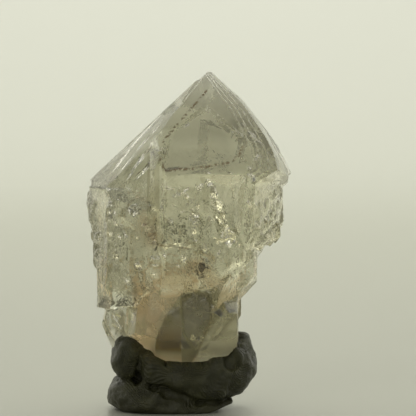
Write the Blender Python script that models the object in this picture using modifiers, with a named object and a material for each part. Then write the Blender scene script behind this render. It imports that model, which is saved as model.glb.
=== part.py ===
"""Smoky quartz cluster, a miniature mineral specimen, pressed into a lump of grey putty.

Metres, +Z up. The front, the side with the large smooth end face, looks along -Y, and +X is to its
right. The putty stands on Z = 0. Lengths below are in millimetres until MM turns them into metres.

The cluster is one solid. Its parts grew together with their long axes nearly upright:
a main crystal with a sunken, stepped end face, a left crystal whose roof lies behind it, a core of
shorter crystals whose ends make the ragged flanks, and a smoky crystal at the foot.
"""

import math
import random

import bmesh
import bpy
from mathutils import Matrix, Vector

MM = 0.001
END_FACE_TILT = 51.8  # degrees from the long axis to the normal of a quartz end face
RING_GAP = 0.3  # clear space between the stone and the putty that holds it

STONE_COLOUR = (0.71, 0.67, 0.55, 1.0)
PUTTY_COLOUR = (0.075, 0.078, 0.055, 1.0)

# Points of the outline as seen from the front, (x, z)
APEX = (3.1, 55.5)
SHOULDER = (9.5, 49.9)
RIGHT_BEND = (13.1, 45.6)
RIGHT_SLOPE = (15.8, 41.2)
RIGHT_TIP = (16.9, 38.9)
LEFT_APEX = (1.4, 54.2)
LEFT_CORNER = (-15.1, 38.8)
LEFT_EDGE = (-16.2, 37.7)
LEFT_REACH = (-17.1, 33.5)

FRONT_DEPTH = -12.2  # the main crystal's front prism face
BACK_DEPTH = 10.5
STEP_COUNT = 4  # growth steps between the large end face and the right edge
STEP_HEIGHT = 0.34


def clear_scene():
    for thing in list(bpy.data.objects):
        bpy.data.objects.remove(thing)


def new_collection(name):
    made = bpy.data.collections.new(name)
    bpy.context.scene.collection.children.link(made)
    return made


def new_material(name, colour, roughness, transmission=0.0):
    material = bpy.data.materials.new(name)
    material.use_nodes = True
    shader = material.node_tree.nodes["Principled BSDF"]
    shader.inputs["Base Color"].default_value = colour
    shader.inputs["Roughness"].default_value = roughness
    shader.inputs["Metallic"].default_value = 0.0
    shader.inputs["Transmission Weight"].default_value = transmission
    shader.inputs["IOR"].default_value = 1.544 if transmission else 1.5
    material.diffuse_color = colour
    return material


def object_from(bm, name, collection):
    mesh = bpy.data.meshes.new(name)
    bmesh.ops.recalc_face_normals(bm, faces=bm.faces[:])
    bm.to_mesh(mesh)
    bm.free()
    thing = bpy.data.objects.new(name, mesh)
    collection.objects.link(thing)
    return thing


def helper_from(bm, name, collection):
    """A block that a modifier uses and that isn't part of the scene."""
    thing = object_from(bm, name, collection)
    thing.hide_render = True
    thing.display_type = "WIRE"
    return thing


def cleave(bm, point, normal):
    """Splits off what lies beyond the plane and closes the cut with one flat face."""
    cut = bmesh.ops.bisect_plane(
        bm,
        geom=bm.verts[:] + bm.edges[:] + bm.faces[:],
        dist=1e-8,
        plane_co=point,
        plane_no=normal,
        clear_outer=True,
    )
    rim = [item for item in cut["geom_cut"] if isinstance(item, bmesh.types.BMEdge)]
    if rim:
        bmesh.ops.edgeloop_fill(bm, edges=rim)


def facet_plane(start, end, depth, facing):
    """A crystal face through the line start-end, seen from the front, at that depth.

    The outline runs clockwise, so the face looks to the left of the line. facing is how far it
    turns to the front: 0 is edge-on, 90 is flat to the front, and a negative one faces the back.
    """
    along = Vector((end[0] - start[0], 0, end[1] - start[1])).normalized()
    outward = Vector((-along.z, 0, along.x))
    angle = math.radians(facing)
    normal = math.cos(angle) * outward + math.sin(angle) * Vector((0, -1, 0))
    return Vector((start[0], depth, start[1])) * MM, normal


def cleaved_block(low, high, facets):
    """A block between two corners, (x, y, z), cut by facets of (start, end, depth, facing)."""
    bm = bmesh.new()
    bmesh.ops.create_cube(bm, size=1.0)
    size = (Vector(high) - Vector(low)) * MM
    middle = (Vector(high) + Vector(low)) / 2 * MM
    bmesh.ops.scale(bm, vec=size, verts=bm.verts)
    bmesh.ops.translate(bm, vec=middle, verts=bm.verts)
    for start, end, depth, facing in facets:
        cleave(bm, *facet_plane(start, end, depth, facing))
    return bm


def prism_crystal(at, top, bottom, reach, twist=0.0, lean=0.0, pitch=0.0, minor=0.16, squeeze=1.0):
    """A six-sided crystal with a point at each end, three of its end faces larger than the others.

    at is its axis, (x, y), reach the distance from the axis to a prism edge, and squeeze its
    depth over its width. It turns by twist about its axis, then leans to the right and pitches
    to the back by those degrees, about its middle.
    """
    half = (top - bottom) / 2
    bm = bmesh.new()
    bmesh.ops.create_cone(
        bm, cap_ends=True, segments=6, radius1=reach, radius2=reach, depth=2.2 * half
    )
    bm.normal_update()
    sides = sorted(math.atan2(f.normal.y, f.normal.x) for f in bm.faces if abs(f.normal.z) < 0.5)
    tilt = math.radians(END_FACE_TILT)
    for end in (1, -1):
        for place, side in enumerate(sides):
            normal = Vector(
                (
                    math.cos(side) * math.sin(tilt),
                    math.sin(side) * math.sin(tilt),
                    end * math.cos(tilt),
                )
            )
            larger = (place % 2 == 0) == (end == 1)
            outward = 0.0 if larger else minor * reach
            cleave(bm, Vector((0, 0, end * half)) + normal * outward, normal)
    turn = (
        Matrix.Rotation(math.radians(lean), 4, "Y")
        @ Matrix.Rotation(math.radians(-pitch), 4, "X")
        @ Matrix.Rotation(math.radians(twist), 4, "Z")
    )
    place = Matrix.Translation((at[0], at[1], (top + bottom) / 2))
    flatten = Matrix.Diagonal((1, squeeze, 1, 1))
    bmesh.ops.transform(bm, matrix=Matrix.Scale(MM, 4) @ place @ turn @ flatten, verts=bm.verts)
    return bm


def end_face(sink):
    """The plane of the main crystal's large end face, or of a growth step that deep below it."""
    top = APEX[1] - sink / math.cos(math.radians(END_FACE_TILT))
    return (-5.0, top), (10.0, top), 0.0, END_FACE_TILT


def far_end_face(sink):
    """The end face behind it, which meets it at the height of the apex."""
    depth = sink / math.sin(math.radians(END_FACE_TILT))
    return (-5.0, APEX[1]), (10.0, APEX[1]), depth, -48


def main_crystal():
    """The main crystal's lowest growth step, with its left edge and its curved right edge."""
    return cleaved_block(
        (-9.0, FRONT_DEPTH, 19.0),
        (15.0, BACK_DEPTH, 57.0),
        [
            ((-3.8, 20.0), (-3.8, 45.0), FRONT_DEPTH, 15),
            ((-5.9, 44.5), APEX, 0.0, 5),
            end_face(STEP_HEIGHT * STEP_COUNT),
            far_end_face(STEP_HEIGHT * STEP_COUNT),
            (APEX, SHOULDER, 0.5, 24),
            (APEX, SHOULDER, 0.5, -34),
            (SHOULDER, RIGHT_BEND, 0.5, 23),
            (SHOULDER, RIGHT_BEND, 0.5, -36),
            (RIGHT_BEND, RIGHT_SLOPE, 0.5, 22),
            ((15.4, 36.5), (14.9, 30.5), -2.0, 24),
            ((15.4, 36.5), (14.9, 30.5), 2.0, -30),
            ((14.9, 30.2), (10.2, 24.0), 0.0, 14),
            ((10.0, 24.4), (-9.0, 22.2), FRONT_DEPTH, END_FACE_TILT),
        ],
    )


def right_rim():
    """The overhanging end of the right edge, a stack of growth layers that ends in a broken tip."""
    return cleaved_block(
        (8.0, -8.0, 36.4),
        (17.2, 5.0, 52.0),
        [
            (SHOULDER, RIGHT_BEND, 0.6, 21),
            (SHOULDER, RIGHT_BEND, 0.6, -33),
            (RIGHT_BEND, RIGHT_SLOPE, 0.6, 21),
            (RIGHT_BEND, RIGHT_SLOPE, 0.6, -30),
            (RIGHT_SLOPE, RIGHT_TIP, 0.6, 19),
            (RIGHT_SLOPE, RIGHT_TIP, 0.6, -28),
            (RIGHT_TIP, (14.6, 36.8), 0.0, 20),
            (RIGHT_TIP, (14.6, 36.8), 1.0, -24),
            end_face(STEP_HEIGHT * STEP_COUNT + 0.2),
        ],
    )


def between(start, end, part):
    return tuple(a + (b - a) * part for a, b in zip(start, end))


def end_face_steps():
    """Growth steps of the large end face: each ends farther in from the curved right edge."""
    outer = (APEX, SHOULDER, RIGHT_BEND, RIGHT_SLOPE, RIGHT_TIP)
    inner = ((3.4, 53.4), (6.9, 49.2), (10.0, 43.8), (10.6, 40.4), (10.2, 38.0))
    layers = []
    for step in range(STEP_COUNT):
        share = (step + 0.6) / STEP_COUNT
        run = [between(a, b, share) for a, b in zip(outer, inner)]
        sink = STEP_HEIGHT * (STEP_COUNT - 1 - step)
        depth = -0.787 * (APEX[1] - run[1][1])
        layers.append(
            cleaved_block(
                (-8.0, FRONT_DEPTH - 0.1 - 0.13 * step, 27.0 + 1.4 * step),
                (16.5, 2.0, 56.0),
                [
                    ((-5.85, 44.5), (APEX[0] + 0.05, APEX[1]), 0.0, 3 - step),
                    ((-3.7, 20.0), (-3.7, 45.0), FRONT_DEPTH, 17 + step),
                    end_face(sink),
                    far_end_face(sink),
                    (run[0], run[1], depth, 6),
                    (run[1], run[2], depth, 5),
                    (run[2], run[3], depth, 4),
                    (run[3], run[4], depth, 8),
                    (run[4], (run[4][0] - 3.0, run[4][1] - 2.2 - 0.5 * step), depth, 16),
                    ((9.0 - 1.8 * step, 34.5 + step), (-9.0, 27.5 + 2.6 * step), FRONT_DEPTH, 50),
                ],
            )
        )
    return layers


def left_crystal():
    """The left crystal: a roof of narrow faces parallel to its ridge, then one broad face."""
    ridge = (LEFT_CORNER, LEFT_APEX)
    steps = ((0.0, 0.0, 0.0, 20), (0.95, -0.7, -3.4, 34), (1.85, -1.5, -5.2, 47), (2.9, -2.3, -6.9, 63))
    facets = [
        ((ridge[0][0] + dx, ridge[0][1] + dz), (ridge[1][0] + dx, ridge[1][1] + dz), depth, facing)
        for dx, dz, depth, facing in steps
    ]
    return cleaved_block(
        (-17.3, -9.3, 29.0),
        (4.0, 9.0, 55.0),
        facets
        + [
            (LEFT_CORNER, LEFT_APEX, 0.0, -30),
            (LEFT_CORNER, LEFT_APEX, 4.0, -52),
            (LEFT_EDGE, LEFT_CORNER, 0.0, 26),
            (LEFT_EDGE, LEFT_CORNER, 0.0, -24),
            (LEFT_REACH, LEFT_EDGE, 0.0, 27),
            (LEFT_REACH, LEFT_EDGE, 0.0, -30),
            ((-16.2, 30.0), LEFT_REACH, 0.0, 24),
            ((-16.2, 30.0), LEFT_REACH, 0.0, -26),
            ((-12.6, 29.0), (-12.6, 38.0), -9.3, 44),
            end_face(0.95),
        ],
    )


def right_flank():
    """Three upright crystals whose pointed lower ends make the stepped right side."""
    return [
        cleaved_block(
            (8.2, -6.4, 23.0),
            (15.6, 4.6, 37.6),
            [
                ((15.2, 37.0), (15.7, 34.0), -1.0, 30),
                ((15.7, 34.0), (15.3, 29.9), -1.0, 32),
                ((15.5, 37.0), (15.5, 30.2), 1.0, -32),
                ((15.4, 29.9), (12.9, 27.3), -0.5, 16),
                ((15.4, 29.9), (12.9, 27.3), 1.0, -22),
                ((13.1, 26.7), (10.5, 23.7), -0.5, 14),
            ],
        ),
        cleaved_block(
            (3.6, -6.6, 15.4),
            (11.4, 5.0, 30.0),
            [
                ((10.8, 30.0), (11.3, 22.2), -2.4, 34),
                ((11.3, 22.4), (11.0, 20.4), -2.4, 32),
                ((11.2, 30.0), (11.2, 18.0), 2.4, -30),
                ((11.1, 20.9), (7.5, 17.2), -0.5, 18),
                ((11.1, 20.9), (7.5, 17.2), 1.5, -25),
                ((3.0, 26.0), (12.0, 25.0), -6.6, 30),
            ],
        ),
        cleaved_block(
            (0.0, -6.0, 8.0),
            (8.0, 4.6, 22.0),
            [
                ((8.1, 22.0), (8.1, 10.0), -2.4, 30),
                ((8.1, 22.0), (8.1, 10.0), 2.0, -30),
                ((8.1, 14.2), (3.0, 7.8), -0.5, 12),
            ],
        ),
    ]


def flank_crystals():
    """The shorter crystals of the core and of the left flank, with their turns."""
    return [
        prism_crystal((-8.4, -1.0), 42.0, 13.5, 7.2, twist=4, squeeze=1.15),
        prism_crystal((-1.0, 0.6), 48.0, 10.5, 10.0, twist=2, squeeze=0.96),
        prism_crystal((5.4, -0.4), 41.0, 15.0, 6.6, twist=-3, squeeze=1.3),
        prism_crystal((-12.7, -1.4), 34.5, 20.6, 3.5, twist=-4, lean=-1),
        prism_crystal((-12.6, 1.6), 28.5, 18.6, 2.9, twist=10, lean=1),
        prism_crystal((-11.9, -0.8), 24.8, 15.2, 3.2, twist=3, lean=1),
        prism_crystal((-11.1, -1.0), 18.4, 7.4, 2.9, twist=2, lean=-24),
        prism_crystal((-9.7, -2.6), 21.0, 6.6, 3.9, twist=8, lean=-26, squeeze=0.8),
        prism_crystal((-9.0, 0.4), 21.0, 6.2, 4.3, twist=5, lean=-8),
    ]


def back_crystals():
    """The crystals that show from behind, each shorter than the main one."""
    return [
        prism_crystal((-6.4, 4.6), 45.0, 16.0, 7.0, twist=-5, pitch=-2),
        prism_crystal((4.2, 5.6), 49.0, 18.0, 6.6, twist=7, pitch=-3),
        prism_crystal((9.4, 4.2), 43.0, 22.0, 5.2, twist=1, lean=3),
        prism_crystal((-11.2, 3.6), 37.0, 19.0, 4.6, twist=8, lean=-2),
        prism_crystal((-1.4, 7.4), 34.0, 13.0, 5.4, twist=-9, pitch=4),
        prism_crystal((4.8, 4.4), 27.0, 9.6, 4.8, twist=4, pitch=2),
        prism_crystal((-6.0, 4.8), 26.0, 9.0, 4.6, twist=-3, pitch=3),
    ]


def left_blocks():
    """The etched crystals on the front of the left flank, from the roof down to the ledge."""
    return [
        cleaved_block(
            (-16.4, -9.7, 29.6),
            (-9.6, 0.0, 36.6),
            [
                ((-17.2, 33.0), (-16.0, 36.6), -4.0, 34),
                ((-15.2, 29.6), (-17.0, 33.0), -5.0, 36),
                ((-9.4, 31.4), (-15.4, 29.7), -9.7, 30),
                ((-16.0, 35.6), (-9.0, 34.4), -9.7, 38),
                ((-12.4, 29.0), (-12.9, 37.0), -9.7, 22),
            ],
        ),
        cleaved_block(
            (-11.4, -10.7, 30.2),
            (-5.6, 0.0, 35.0),
            [
                ((-11.4, 32.6), (-9.2, 34.9), -9.6, 36),
                ((-9.2, 34.9), (-5.6, 34.2), -9.6, 40),
                ((-5.7, 34.6), (-6.1, 31.2), -10.4, 24),
                ((-6.1, 31.2), (-8.7, 30.3), -10.7, 42),
                ((-8.7, 30.3), (-11.4, 32.8), -10.4, 34),
            ],
        ),
        cleaved_block(
            (-13.8, -9.6, 20.4),
            (-8.2, 0.0, 31.0),
            [
                ((-14.2, 20.0), (-13.6, 30.0), -8.4, 30),
                ((-8.6, 22.2), (-13.8, 19.9), -9.6, 28),
                ((-14.0, 30.0), (-8.0, 31.6), -9.6, 26),
            ],
        ),
        cleaved_block(
            (-9.3, -10.6, 22.9),
            (-6.8, 0.0, 31.2),
            [
                ((-9.3, 22.9), (-9.1, 30.0), -10.2, 30),
                ((-9.1, 29.6), (-7.4, 31.0), -10.4, 44),
                ((-6.9, 30.0), (-6.9, 24.0), -10.4, 34),
                ((-6.9, 24.4), (-8.6, 22.9), -10.4, 30),
            ],
        ),
        cleaved_block(
            (-12.7, -10.2, 17.6),
            (-6.6, 0.0, 26.2),
            [
                ((-12.7, 17.6), (-12.5, 24.0), -9.8, 28),
                ((-12.6, 24.2), (-7.0, 26.0), -10.2, 52),
                ((-6.4, 21.6), (-8.9, 17.5), -10.2, 12),
                ((-8.4, 17.7), (-12.8, 17.7), -10.2, 20),
            ],
        ),
        cleaved_block(
            (-15.1, -7.6, 16.8),
            (-11.6, 2.0, 25.4),
            [
                ((-14.7, 17.6), (-15.3, 22.0), -3.4, 32),
                ((-15.1, 22.4), (-13.0, 25.6), -6.6, 30),
                ((-12.6, 17.8), (-14.6, 16.9), -7.4, 30),
            ],
        ),
        prism_crystal((-7.2, -7.6), 30.6, 17.8, 2.9, twist=6),
        prism_crystal((-5.2, -8.0), 31.4, 20.4, 2.9, twist=-5),
    ]


def blade():
    """The narrow prism face on the left of the main crystal, with a point at its lower end."""
    return cleaved_block(
        (-6.1, -11.3, 33.6),
        (-3.0, 0.0, 43.0),
        [
            ((-5.9, 33.0), (-5.9, 41.0), -10.4, 34),
            ((-6.4, 39.6), (-4.6, 43.4), -10.0, 30),
            ((-3.9, 37.5), (-5.2, 33.8), -11.3, 20),
        ],
    )


def front_ribs():
    """Upright crystals that stand a little proud of the front prism face."""
    return [
        prism_crystal((-1.9, -9.4), 38.6, 25.6, 3.5, twist=4),
        prism_crystal((0.9, -9.9), 36.2, 27.4, 2.9, twist=-7),
        prism_crystal((-0.2, -8.7), 29.6, 18.8, 3.6, twist=8),
        prism_crystal((3.6, -8.6), 29.4, 20.4, 3.3, twist=-4),
        prism_crystal((7.6, -8.9), 30.2, 22.2, 3.0, twist=6),
        prism_crystal((9.6, -9.3), 37.0, 26.8, 2.7, twist=-8),
        prism_crystal((-3.4, -8.2), 26.0, 18.4, 2.7, twist=-3),
    ]


def smooth_foot():
    """The smooth pale crystal between the rough plate and the smoky crystal."""
    return cleaved_block(
        (-9.8, -9.4, 9.6),
        (3.0, 3.0, 27.5),
        [
            ((-9.4, 12.0), (-8.6, 19.0), -7.6, 30),
            ((-8.6, 19.0), (-4.6, 23.4), -8.4, 34),
            ((-12.0, 25.6), (8.0, 25.6), -8.8, 72),
            ((-1.0, 8.6), (-9.6, 13.0), -7.6, 30),
            ((2.6, 26.0), (3.4, 10.0), -8.6, 30),
            ((-9.4, 9.0), (-8.4, 19.0), -8.4, 64),
        ],
    )


def smoky_crystals():
    """The darker crystals at the foot: a round body, an upright crystal and a leaning one."""
    return [
        cleaved_block(
            (-5.6, -10.5, 8.4),
            (8.2, 5.0, 20.2),
            [
                ((-4.6, 9.6), (-5.4, 11.6), -8.8, 34),
                ((-5.4, 11.6), (-5.3, 14.0), -9.0, 30),
                ((-5.3, 14.0), (-3.7, 16.4), -9.2, 36),
                ((-3.7, 16.4), (-0.9, 18.6), -9.2, 38),
                ((-0.9, 18.6), (4.0, 20.0), -8.4, 45),
                ((4.0, 20.0), (8.0, 17.5), -7.0, 38),
                ((8.0, 17.5), (7.6, 13.6), -6.0, 30),
                ((7.6, 13.6), (6.0, 11.2), -6.6, 34),
                ((6.0, 11.2), (4.2, 9.5), -7.2, 38),
                ((4.2, 9.5), (1.8, 8.7), -7.8, 42),
                ((1.8, 8.7), (-1.5, 8.6), -8.2, 44),
                ((-1.5, 8.6), (-3.7, 9.3), -8.4, 42),
                ((-3.7, 9.3), (-4.8, 10.0), -8.6, 38),
                ((-2.4, 8.0), (-2.8, 18.0), -10.2, 66),
            ],
        ),
        cleaved_block(
            (-1.2, -11.2, 9.4),
            (4.3, 0.0, 20.0),
            [
                ((-1.0, 9.0), (-1.0, 18.2), -10.5, 34),
                ((-1.0, 18.1), (1.1, 19.9), -10.4, 40),
                ((1.1, 19.9), (3.1, 19.4), -10.4, 46),
                ((3.1, 19.4), (4.1, 17.9), -10.4, 38),
                ((4.1, 18.0), (3.9, 15.2), -10.5, 30),
                ((3.9, 15.4), (1.3, 9.8), -10.4, 32),
                ((1.3, 9.8), (-1.0, 13.2), -10.4, 36),
                ((-1.2, 14.0), (4.4, 17.0), -11.1, 80),
            ],
        ),
        cleaved_block(
            (1.0, -10.9, 9.2),
            (8.0, 0.0, 18.2),
            [
                ((1.4, 10.2), (6.6, 17.3), -9.7, 52),
                ((6.4, 17.7), (7.9, 16.4), -8.6, 30),
                ((7.9, 16.0), (4.4, 9.5), -8.2, 42),
                ((4.4, 9.7), (1.2, 9.2), -8.4, 34),
            ],
        ),
        cleaved_block(
            (1.4, -10.6, 16.6),
            (8.4, 0.0, 24.0),
            [
                ((1.8, 21.0), (3.5, 23.4), -9.6, 34),
                ((3.4, 23.4), (7.4, 23.2), -9.2, 44),
                ((7.6, 23.0), (4.8, 16.8), -9.0, 30),
                ((4.8, 16.8), (1.8, 21.6), -9.4, 36),
                ((3.9, 16.0), (4.6, 24.0), -10.3, 68),
            ],
        ),
    ]


def crust(dice, start, end, low, high, across, rows, reach, proud):
    """Small parallel crystals fused to an upright strip of surface, in uneven rows.

    The strip runs from start to end, (x, y), with the outside on the right hand, and from low to
    high. reach is the largest distance from a crystal's axis to its edge, and proud how far the
    outermost ones stand out.
    """
    run = Vector((end[0] - start[0], end[1] - start[1], 0))
    outward = Vector((run.y, -run.x, 0)).normalized()
    made = []
    for row in range(rows):
        for column in range(across):
            along = (column + dice.uniform(0.1, 0.9)) / across
            z = low + (row + dice.uniform(0.2, 0.8)) * (high - low) / rows
            size = reach * dice.uniform(0.55, 1.0)
            half = size * 0.6 + (high - low) / rows * dice.uniform(0.3, 0.6)
            inward = size * 0.92 - proud * dice.uniform(0.1, 1.0)
            spot = Vector((start[0], start[1], 0)) + run * along - outward * inward
            turn = dice.uniform(-6, 6)
            top = min(z + half, high + 0.8)
            bottom = max(z - half, low - 0.8)
            made.append(
                prism_crystal((spot.x, spot.y), top, bottom, size, twist=turn, lean=turn / 3)
            )
    return made


def crust_crystals():
    """The etched parts of the surface: front left, front middle, both flanks and the back."""
    dice = random.Random(11)
    made = crust(dice, (-13.0, -9.8), (-7.0, -10.3), 18.8, 33.8, 4, 5, 1.5, 0.4)
    made += crust(dice, (-4.2, -12.1), (2.6, -12.5), 25.0, 38.4, 4, 4, 1.5, 0.5)
    made += crust(dice, (2.8, -11.9), (9.0, -12.2), 23.8, 29.4, 3, 2, 1.5, 0.5)
    made += crust(dice, (10.2, -12.3), (15.1, -2.4), 27.6, 37.4, 5, 4, 1.6, 0.6)
    made += crust(dice, (15.4, -2.0), (15.5, 0.0), 30.6, 36.4, 1, 3, 1.5, 0.4)
    made += crust(dice, (15.4, 0.2), (13.4, 4.6), 30.6, 37.4, 2, 3, 1.4, 0.4)
    made += crust(dice, (12.4, -5.0), (12.8, 3.0), 26.8, 29.2, 4, 1, 1.4, 0.4)
    made += crust(dice, (10.6, -4.6), (11.2, 3.4), 22.0, 24.6, 3, 1, 1.4, 0.4)
    made += crust(dice, (-14.4, 4.4), (-16.6, 0.4), 30.4, 36.0, 2, 2, 1.5, 0.5)
    made += crust(dice, (-16.6, 0.2), (-16.0, -3.6), 30.6, 34.4, 2, 2, 1.5, 0.4)
    made += crust(dice, (-13.4, 4.0), (-15.4, -0.2), 20.0, 29.4, 2, 3, 1.5, 0.4)
    made += crust(dice, (-15.9, -0.4), (-14.9, -4.6), 23.6, 29.4, 2, 2, 1.5, 0.4)
    made += crust(dice, (7.8, 9.6), (-9.0, 9.0), 19.0, 36.0, 6, 4, 2.3, 1.0)
    return made


def end_face_window(spread, sink):
    """A cutter for a sunken step of the end face, spread wider than its inner outline."""
    corners = ((0.3, 49.4), (3.1, 52.3), (6.5, 48.1), (9.5, 43.4), (6.8, 40.9), (-3.8, 39.9))
    corners += ((-4.5, 43.4),)
    facets = []
    for start, end in zip(corners, corners[1:] + corners[:1]):
        along = Vector((end[0] - start[0], end[1] - start[1])).normalized()
        shift = Vector((-along.y, along.x)) * spread
        depth = -0.787 * (APEX[1] - (start[1] + end[1]) / 2)
        facets.append(
            (
                (start[0] + shift.x, start[1] + shift.y),
                (end[0] + shift.x, end[1] + shift.y),
                depth,
                -34,
            )
        )
    bm = cleaved_block((-9.0, -17.0, 36.0), (14.0, 0.5, 56.0), facets)
    start, _, depth, facing = end_face(sink)
    angle = math.radians(facing)
    floor = Vector((0, math.sin(angle), -math.cos(angle)))
    cleave(bm, Vector((start[0], depth, start[1])) * MM, floor)
    return bm


def prism_face_window():
    """A cutter for the narrow sunken triangle in the front prism face, with a slanting left wall."""
    return cleaved_block(
        (2.0, -16.0, 28.8),
        (10.0, -8.6, 39.4),
        [
            ((4.9, 29.0), (2.4, 39.4), -12.2, -52),
            ((9.2, 39.4), (8.3, 29.0), -12.2, -20),
            ((10.0, 29.6), (2.0, 29.6), -12.2, -30),
            ((-5.0, 38.9), (10.0, 38.9), -12.2, -38),
        ],
    )


def quartz_cluster(growth, hollows, parts):
    """Fuses the crystals into one solid and sinks its windows."""
    crystals = [right_rim(), left_crystal(), blade()] + left_blocks()
    crystals += [smooth_foot()] + smoky_crystals()
    crystals += end_face_steps() + front_ribs() + right_flank() + flank_crystals()
    crystals += back_crystals()
    crystals += crust_crystals()
    for number, crystal in enumerate(crystals):
        helper_from(crystal, f"crystal_{number:03d}", growth)
    windows = [end_face_window(0.4, 0.16), end_face_window(0.0, 0.45), prism_face_window()]
    for number, window in enumerate(windows):
        helper_from(window, f"window_{number}", hollows)
    cluster = object_from(main_crystal(), "quartz_cluster", parts)
    for operation, helpers in (("UNION", growth), ("DIFFERENCE", hollows)):
        step = cluster.modifiers.new(operation.lower(), "BOOLEAN")
        step.operation = operation
        step.solver = "EXACT"
        step.operand_type = "COLLECTION"
        step.collection = helpers
    return cluster


def frozen(thing, name, collection):
    """A mesh copy of the object with its modifiers worked out."""
    bpy.context.view_layer.update()
    graph = bpy.context.evaluated_depsgraph_get()
    mesh = bpy.data.meshes.new_from_object(thing.evaluated_get(graph))
    made = bpy.data.objects.new(name, mesh)
    made.matrix_world = thing.matrix_world
    collection.objects.link(made)
    return made


def putty_roll(name, route, helpers):
    """A rolled length of putty: route has its points, (x, y, z), with its radius at each."""
    curve = bpy.data.curves.new(name, "CURVE")
    curve.dimensions = "3D"
    curve.bevel_depth = MM
    curve.bevel_resolution = 4
    curve.use_fill_caps = True
    spline = curve.splines.new("NURBS")
    spline.points.add(len(route) - 1)
    for point, (x, y, z, radius) in zip(spline.points, route):
        point.co = (x * MM, y * MM, z * MM, 1.0)
        point.radius = radius
    spline.use_endpoint_u = True
    spline.order_u = 3
    spline.resolution_u = 4
    roll = bpy.data.objects.new(name, curve)
    helpers.objects.link(roll)
    made = frozen(roll, name + "_mesh", helpers)
    bpy.data.objects.remove(roll)
    weld(made)
    made.hide_render = True
    made.display_type = "WIRE"
    return made


def weld(thing):
    bm = bmesh.new()
    bm.from_mesh(thing.data)
    bmesh.ops.remove_doubles(bm, verts=bm.verts, dist=1e-7)
    bmesh.ops.recalc_face_normals(bm, faces=bm.faces)
    bm.to_mesh(thing.data)
    bm.free()


def putty_ball(name, at, size, helpers):
    bm = bmesh.new()
    bmesh.ops.create_uvsphere(bm, u_segments=16, v_segments=10, radius=1.0)
    bmesh.ops.scale(bm, vec=Vector(size) * MM, verts=bm.verts)
    bmesh.ops.translate(bm, vec=Vector(at) * MM, verts=bm.verts)
    return helper_from(bm, name, helpers)


def press_cutter(cluster, helpers):
    """The foot of the cluster, grown by the ring gap, which presses its hollow into the putty."""
    bm = bmesh.new()
    bmesh.ops.create_cube(bm, size=40 * MM)
    bmesh.ops.translate(bm, vec=Vector((0, 0, -2)) * MM, verts=bm.verts)
    block = helper_from(bm, "around_the_foot", helpers)
    foot = frozen(cluster, "foot_of_cluster", helpers)
    trim = foot.modifiers.new("trim", "BOOLEAN")
    trim.operation = "INTERSECT"
    trim.solver = "EXACT"
    trim.object = block
    even = foot.modifiers.new("even", "REMESH")
    even.mode = "VOXEL"
    even.voxel_size = 0.9 * MM
    grow = foot.modifiers.new("grow", "DISPLACE")
    grow.strength = (RING_GAP + 0.35) * MM
    grow.mid_level = 0.0
    thin = foot.modifiers.new("thin", "DECIMATE")
    thin.ratio = 0.4
    foot.hide_render = True
    foot.display_type = "WIRE"
    return foot


def putty_lump(cluster, helpers, parts):
    """The folded lump of putty: a flat tongue under a thick roll that rises at both ends."""
    pieces = [
        putty_ball("putty_core", (-1.4, 0.6, 4.2), (9.4, 7.0, 4.4), helpers),
        putty_ball("putty_left_lobe", (-10.1, -4.1, 9.1), (2.8, 4.2, 4.3), helpers),
        putty_ball("putty_right_lobe", (7.5, -1.8, 7.6), (3.8, 5.2, 5.2), helpers),
        putty_roll(
            "putty_tongue",
            [
                (-11.0, 2.8, 2.7, 2.3),
                (-11.2, -1.4, 2.6, 2.5),
                (-10.3, -5.6, 2.5, 2.8),
                (-5.4, -7.2, 1.6, 2.4),
                (0.6, -7.2, -0.2, 1.9),
                (5.0, -6.2, 0.0, 1.5),
                (7.0, -4.8, 0.2, 1.3),
            ],
            helpers,
        ),
        putty_roll(
            "putty_fold",
            [
                (-7.6, -6.4, 7.0, 2.5),
                (-5.6, -6.0, 6.8, 2.9),
                (-3.0, -5.6, 6.0, 3.3),
                (0.6, -5.8, 5.1, 3.9),
                (4.6, -5.0, 5.2, 4.1),
                (7.0, -2.6, 6.4, 4.3),
                (6.9, 1.4, 7.2, 4.1),
            ],
            helpers,
        ),
        putty_roll(
            "putty_back",
            [
                (6.9, 1.0, 7.0, 4.1),
                (3.6, 5.0, 6.8, 4.2),
                (-2.4, 6.0, 7.0, 4.0),
                (-8.0, 3.8, 8.0, 3.8),
                (-9.8, -1.0, 8.8, 3.3),
            ],
            helpers,
        ),
    ]
    bm = bmesh.new()
    for piece in pieces:
        bm.from_mesh(piece.data)
    putty = object_from(bm, "putty_lump", parts)
    knead = putty.modifiers.new("knead", "REMESH")
    knead.mode = "VOXEL"
    knead.voxel_size = 0.6 * MM
    ease = putty.modifiers.new("ease", "SMOOTH")
    ease.factor = 0.5
    ease.iterations = 3
    thin = putty.modifiers.new("thin", "DECIMATE")
    thin.ratio = 0.3
    bm = bmesh.new()
    bmesh.ops.create_cube(bm, size=60 * MM)
    bmesh.ops.translate(bm, vec=Vector((0, 0, -30)) * MM, verts=bm.verts)
    below = helper_from(bm, "below_the_putty", helpers)
    for name, helper in (("press", press_cutter(cluster, helpers)), ("foot", below)):
        cut = putty.modifiers.new(name, "BOOLEAN")
        cut.operation = "DIFFERENCE"
        cut.solver = "EXACT"
        cut.object = helper
    return putty


def centre_on_origin(things):
    """Moves the pieces together so that the middle of their box, seen from above, is the origin."""
    corners = [
        thing.matrix_world @ vertex.co for thing in things for vertex in thing.data.vertices
    ]
    middle = Vector(
        (
            (min(c.x for c in corners) + max(c.x for c in corners)) / 2,
            (min(c.y for c in corners) + max(c.y for c in corners)) / 2,
            0.0,
        )
    )
    for thing in things:
        thing.data.transform(Matrix.Translation(-middle))


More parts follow.
